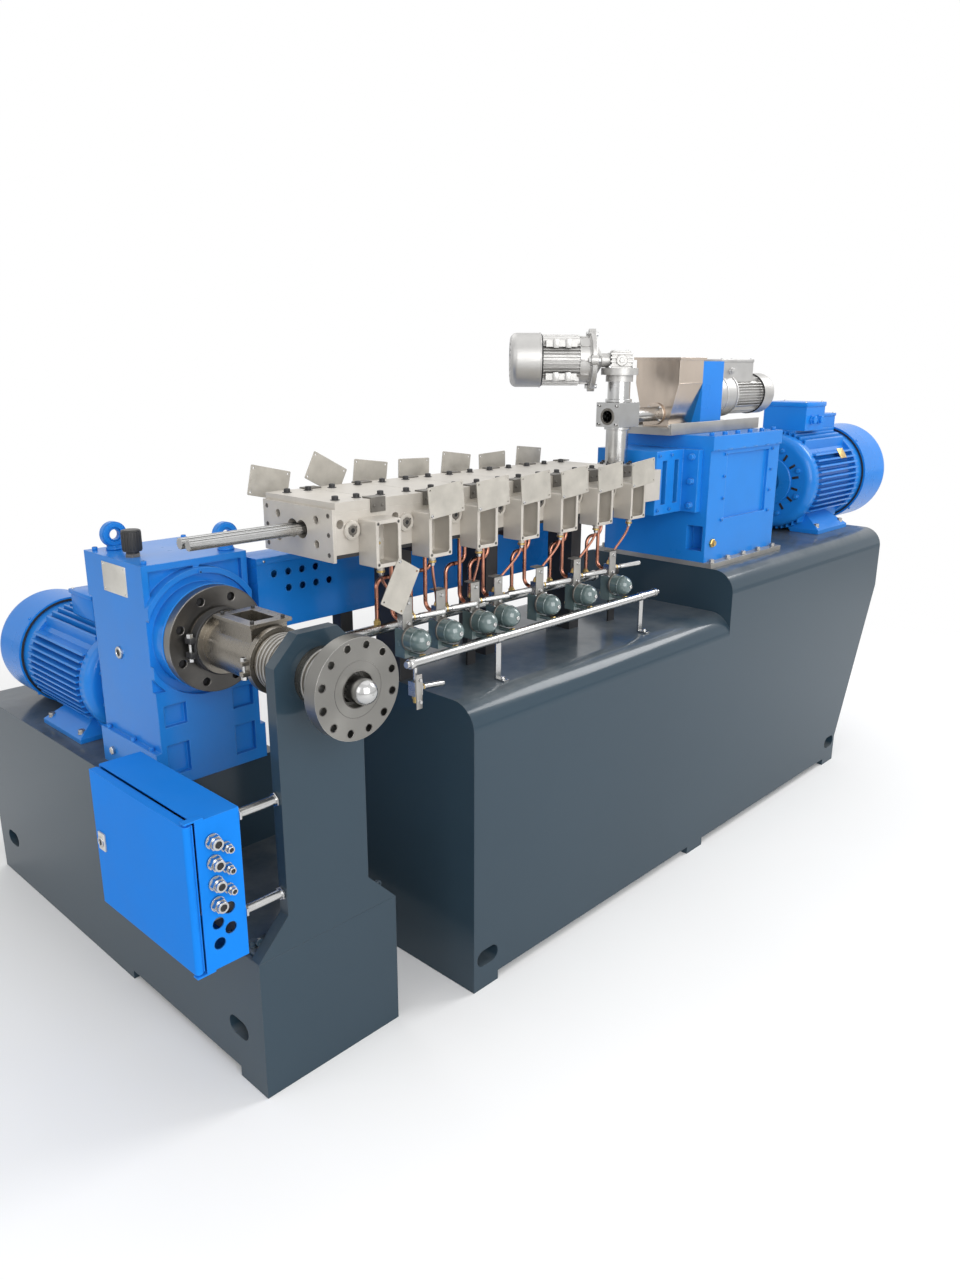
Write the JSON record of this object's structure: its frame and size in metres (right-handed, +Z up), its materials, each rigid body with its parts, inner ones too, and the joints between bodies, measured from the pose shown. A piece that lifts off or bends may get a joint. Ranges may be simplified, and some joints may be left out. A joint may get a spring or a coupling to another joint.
{
  "type": "two-stage twin-screw extruder",
  "caption": "Two-stage compounding extruder: a twin-screw barrel with terminal boxes and cooling valves on a stepped base feeds a single-screw stage set across its end.",
  "frame": {"origin": "on the floor under the middle of the machine's bounding box", "axes": "+X along the twin barrel towards its drive motor, +Y across it towards the rear, +Z up"},
  "size_m": [3.34, 1.63, 1.6485],
  "materials": {
    "twin_base": "gloss enamel",
    "barrel_supports": "dull black",
    "discharge_plate": "nickel plated, satin",
    "barrel_section_1": "nickel plated, satin",
    "barrel_section_2": "nickel plated, satin",
    "barrel_section_3": "nickel plated, satin",
    "barrel_section_4": "nickel plated, satin",
    "barrel_section_5": "nickel plated, satin",
    "barrel_section_6": "nickel plated, satin",
    "barrel_section_7": "nickel plated, satin",
    "barrel_section_8": "nickel plated, satin",
    "top_heating_plates": "nickel plated, satin",
    "bottom_heating_plates": "dull black",
    "joint_straps": "dull black",
    "front_terminal_boxes": "nickel plated, satin",
    "rear_terminal_boxes": "nickel plated, satin",
    "front_box_covers": "nickel plated, satin",
    "rear_box_covers": "nickel plated, satin",
    "screw_shaft_front": "polished",
    "screw_shaft_rear": "polished",
    "cooling_rail": "polished",
    "rail_brackets": "polished",
    "rear_header": "polished",
    "header_brackets": "dull black",
    "solenoid_valves": "grey-green enamel",
    "valve_handles": "polished",
    "copper_pipes": "bright copper",
    "wiring_duct": "gloss enamel",
    "duct_legs": "dull black",
    "lantern": "gloss enamel",
    "gearbox_sole": "nickel plated, satin",
    "twin_gearbox": "gloss enamel",
    "shaft_coupling": "machined",
    "drive_motor": "gloss enamel",
    "drive_motor_cowl": "gloss enamel",
    "drive_motor_boxes": "gloss enamel",
    "feeder_shelf": "nickel plated, satin",
    "feeder_hopper": "nickel plated, satin",
    "feeder_tube": "polished",
    "feeder_drive_plate": "gloss enamel",
    "feeder_motor": "cast, silver paint",
    "stuffer_pipe": "polished",
    "stuffer_gearbox": "cast, silver paint",
    "stuffer_motor": "cast, silver paint",
    "second_base": "gloss enamel",
    "column": "gloss enamel",
    "second_gearbox": "gloss enamel",
    "lifting_eyes": "gloss enamel",
    "breather_cap": "moulded",
    "rear_flange": "nickel plated, satin",
    "second_barrel": "nickel plated, satin",
    "front_flange": "nickel plated, satin",
    "second_screw": "polished",
    "second_motor": "gloss enamel",
    "second_motor_cowl": "gloss enamel",
    "junction_box": "gloss enamel",
    "junction_box_door": "gloss enamel",
    "cable_glands": "polished",
    "box_rods": "polished"
  },
  "bodies": {
    "machine": {"twin_base": "twin_base", "barrel_supports": "barrel_supports", "discharge_plate": "discharge_plate", "barrel_section_1": "barrel_section_1", "barrel_section_2": "barrel_section_2", "barrel_section_3": "barrel_section_3", "barrel_section_4": "barrel_section_4", "barrel_section_5": "barrel_section_5", "barrel_section_6": "barrel_section_6", "barrel_section_7": "barrel_section_7", "barrel_section_8": "barrel_section_8", "top_heating_plates": "top_heating_plates", "bottom_heating_plates": "bottom_heating_plates", "joint_straps": "joint_straps", "front_terminal_boxes": "front_terminal_boxes", "rear_terminal_boxes": "rear_terminal_boxes", "front_box_covers": "front_box_covers", "rear_box_covers": "rear_box_covers", "cooling_rail": "cooling_rail", "rail_brackets": "rail_brackets", "rear_header": "rear_header", "header_brackets": "header_brackets", "solenoid_valves": "solenoid_valves", "valve_handles": "valve_handles", "copper_pipes": "copper_pipes", "wiring_duct": "wiring_duct", "duct_legs": "duct_legs", "lantern": "lantern", "gearbox_sole": "gearbox_sole", "twin_gearbox": "twin_gearbox", "shaft_coupling": "shaft_coupling", "drive_motor": "drive_motor", "drive_motor_cowl": "drive_motor_cowl", "drive_motor_boxes": "drive_motor_boxes", "feeder_shelf": "feeder_shelf", "feeder_hopper": "feeder_hopper", "feeder_tube": "feeder_tube", "feeder_drive_plate": "feeder_drive_plate", "feeder_motor": "feeder_motor", "stuffer_pipe": "stuffer_pipe", "stuffer_gearbox": "stuffer_gearbox", "stuffer_motor": "stuffer_motor", "second_base": "second_base", "column": "column", "second_gearbox": "second_gearbox", "lifting_eyes": "lifting_eyes", "breather_cap": "breather_cap", "rear_flange": "rear_flange", "second_barrel": "second_barrel", "front_flange": "front_flange", "second_motor": "second_motor", "second_motor_cowl": "second_motor_cowl", "junction_box": "junction_box", "cable_glands": "cable_glands", "box_rods": "box_rods"},
    "box_door": {"junction_box_door": "junction_box_door"},
    "single_screw": {"second_screw": "second_screw"},
    "front_shaft": {"screw_shaft_front": "screw_shaft_front"},
    "rear_shaft": {"screw_shaft_rear": "screw_shaft_rear"}
  },
  "joints": [
    {"name": "door_hinge", "type": "hinge", "parent": "machine", "child": "box_door", "pos_m": [-1.655, -0.626, 0.5375], "axis": [0, 0, 1], "range_deg": [0, 120]},
    {"name": "single_screw_spin", "type": "hinge", "parent": "machine", "child": "single_screw", "pos_m": [-1.34, -0.261, 0.932], "axis": [0, 1, 0], "continuous": true},
    {"name": "front_shaft_spin", "type": "hinge", "parent": "machine", "child": "front_shaft", "pos_m": [0.217, -0.4255, 1.193], "axis": [1, 0, 0], "continuous": true},
    {"name": "rear_shaft_spin", "type": "hinge", "parent": "machine", "child": "rear_shaft", "pos_m": [0.217, -0.3925, 1.193], "axis": [1, 0, 0], "continuous": true}
  ],
  "couplings": [
    {"joint": "rear_shaft_spin", "follows": "front_shaft_spin", "ratio": 1}
  ]
}
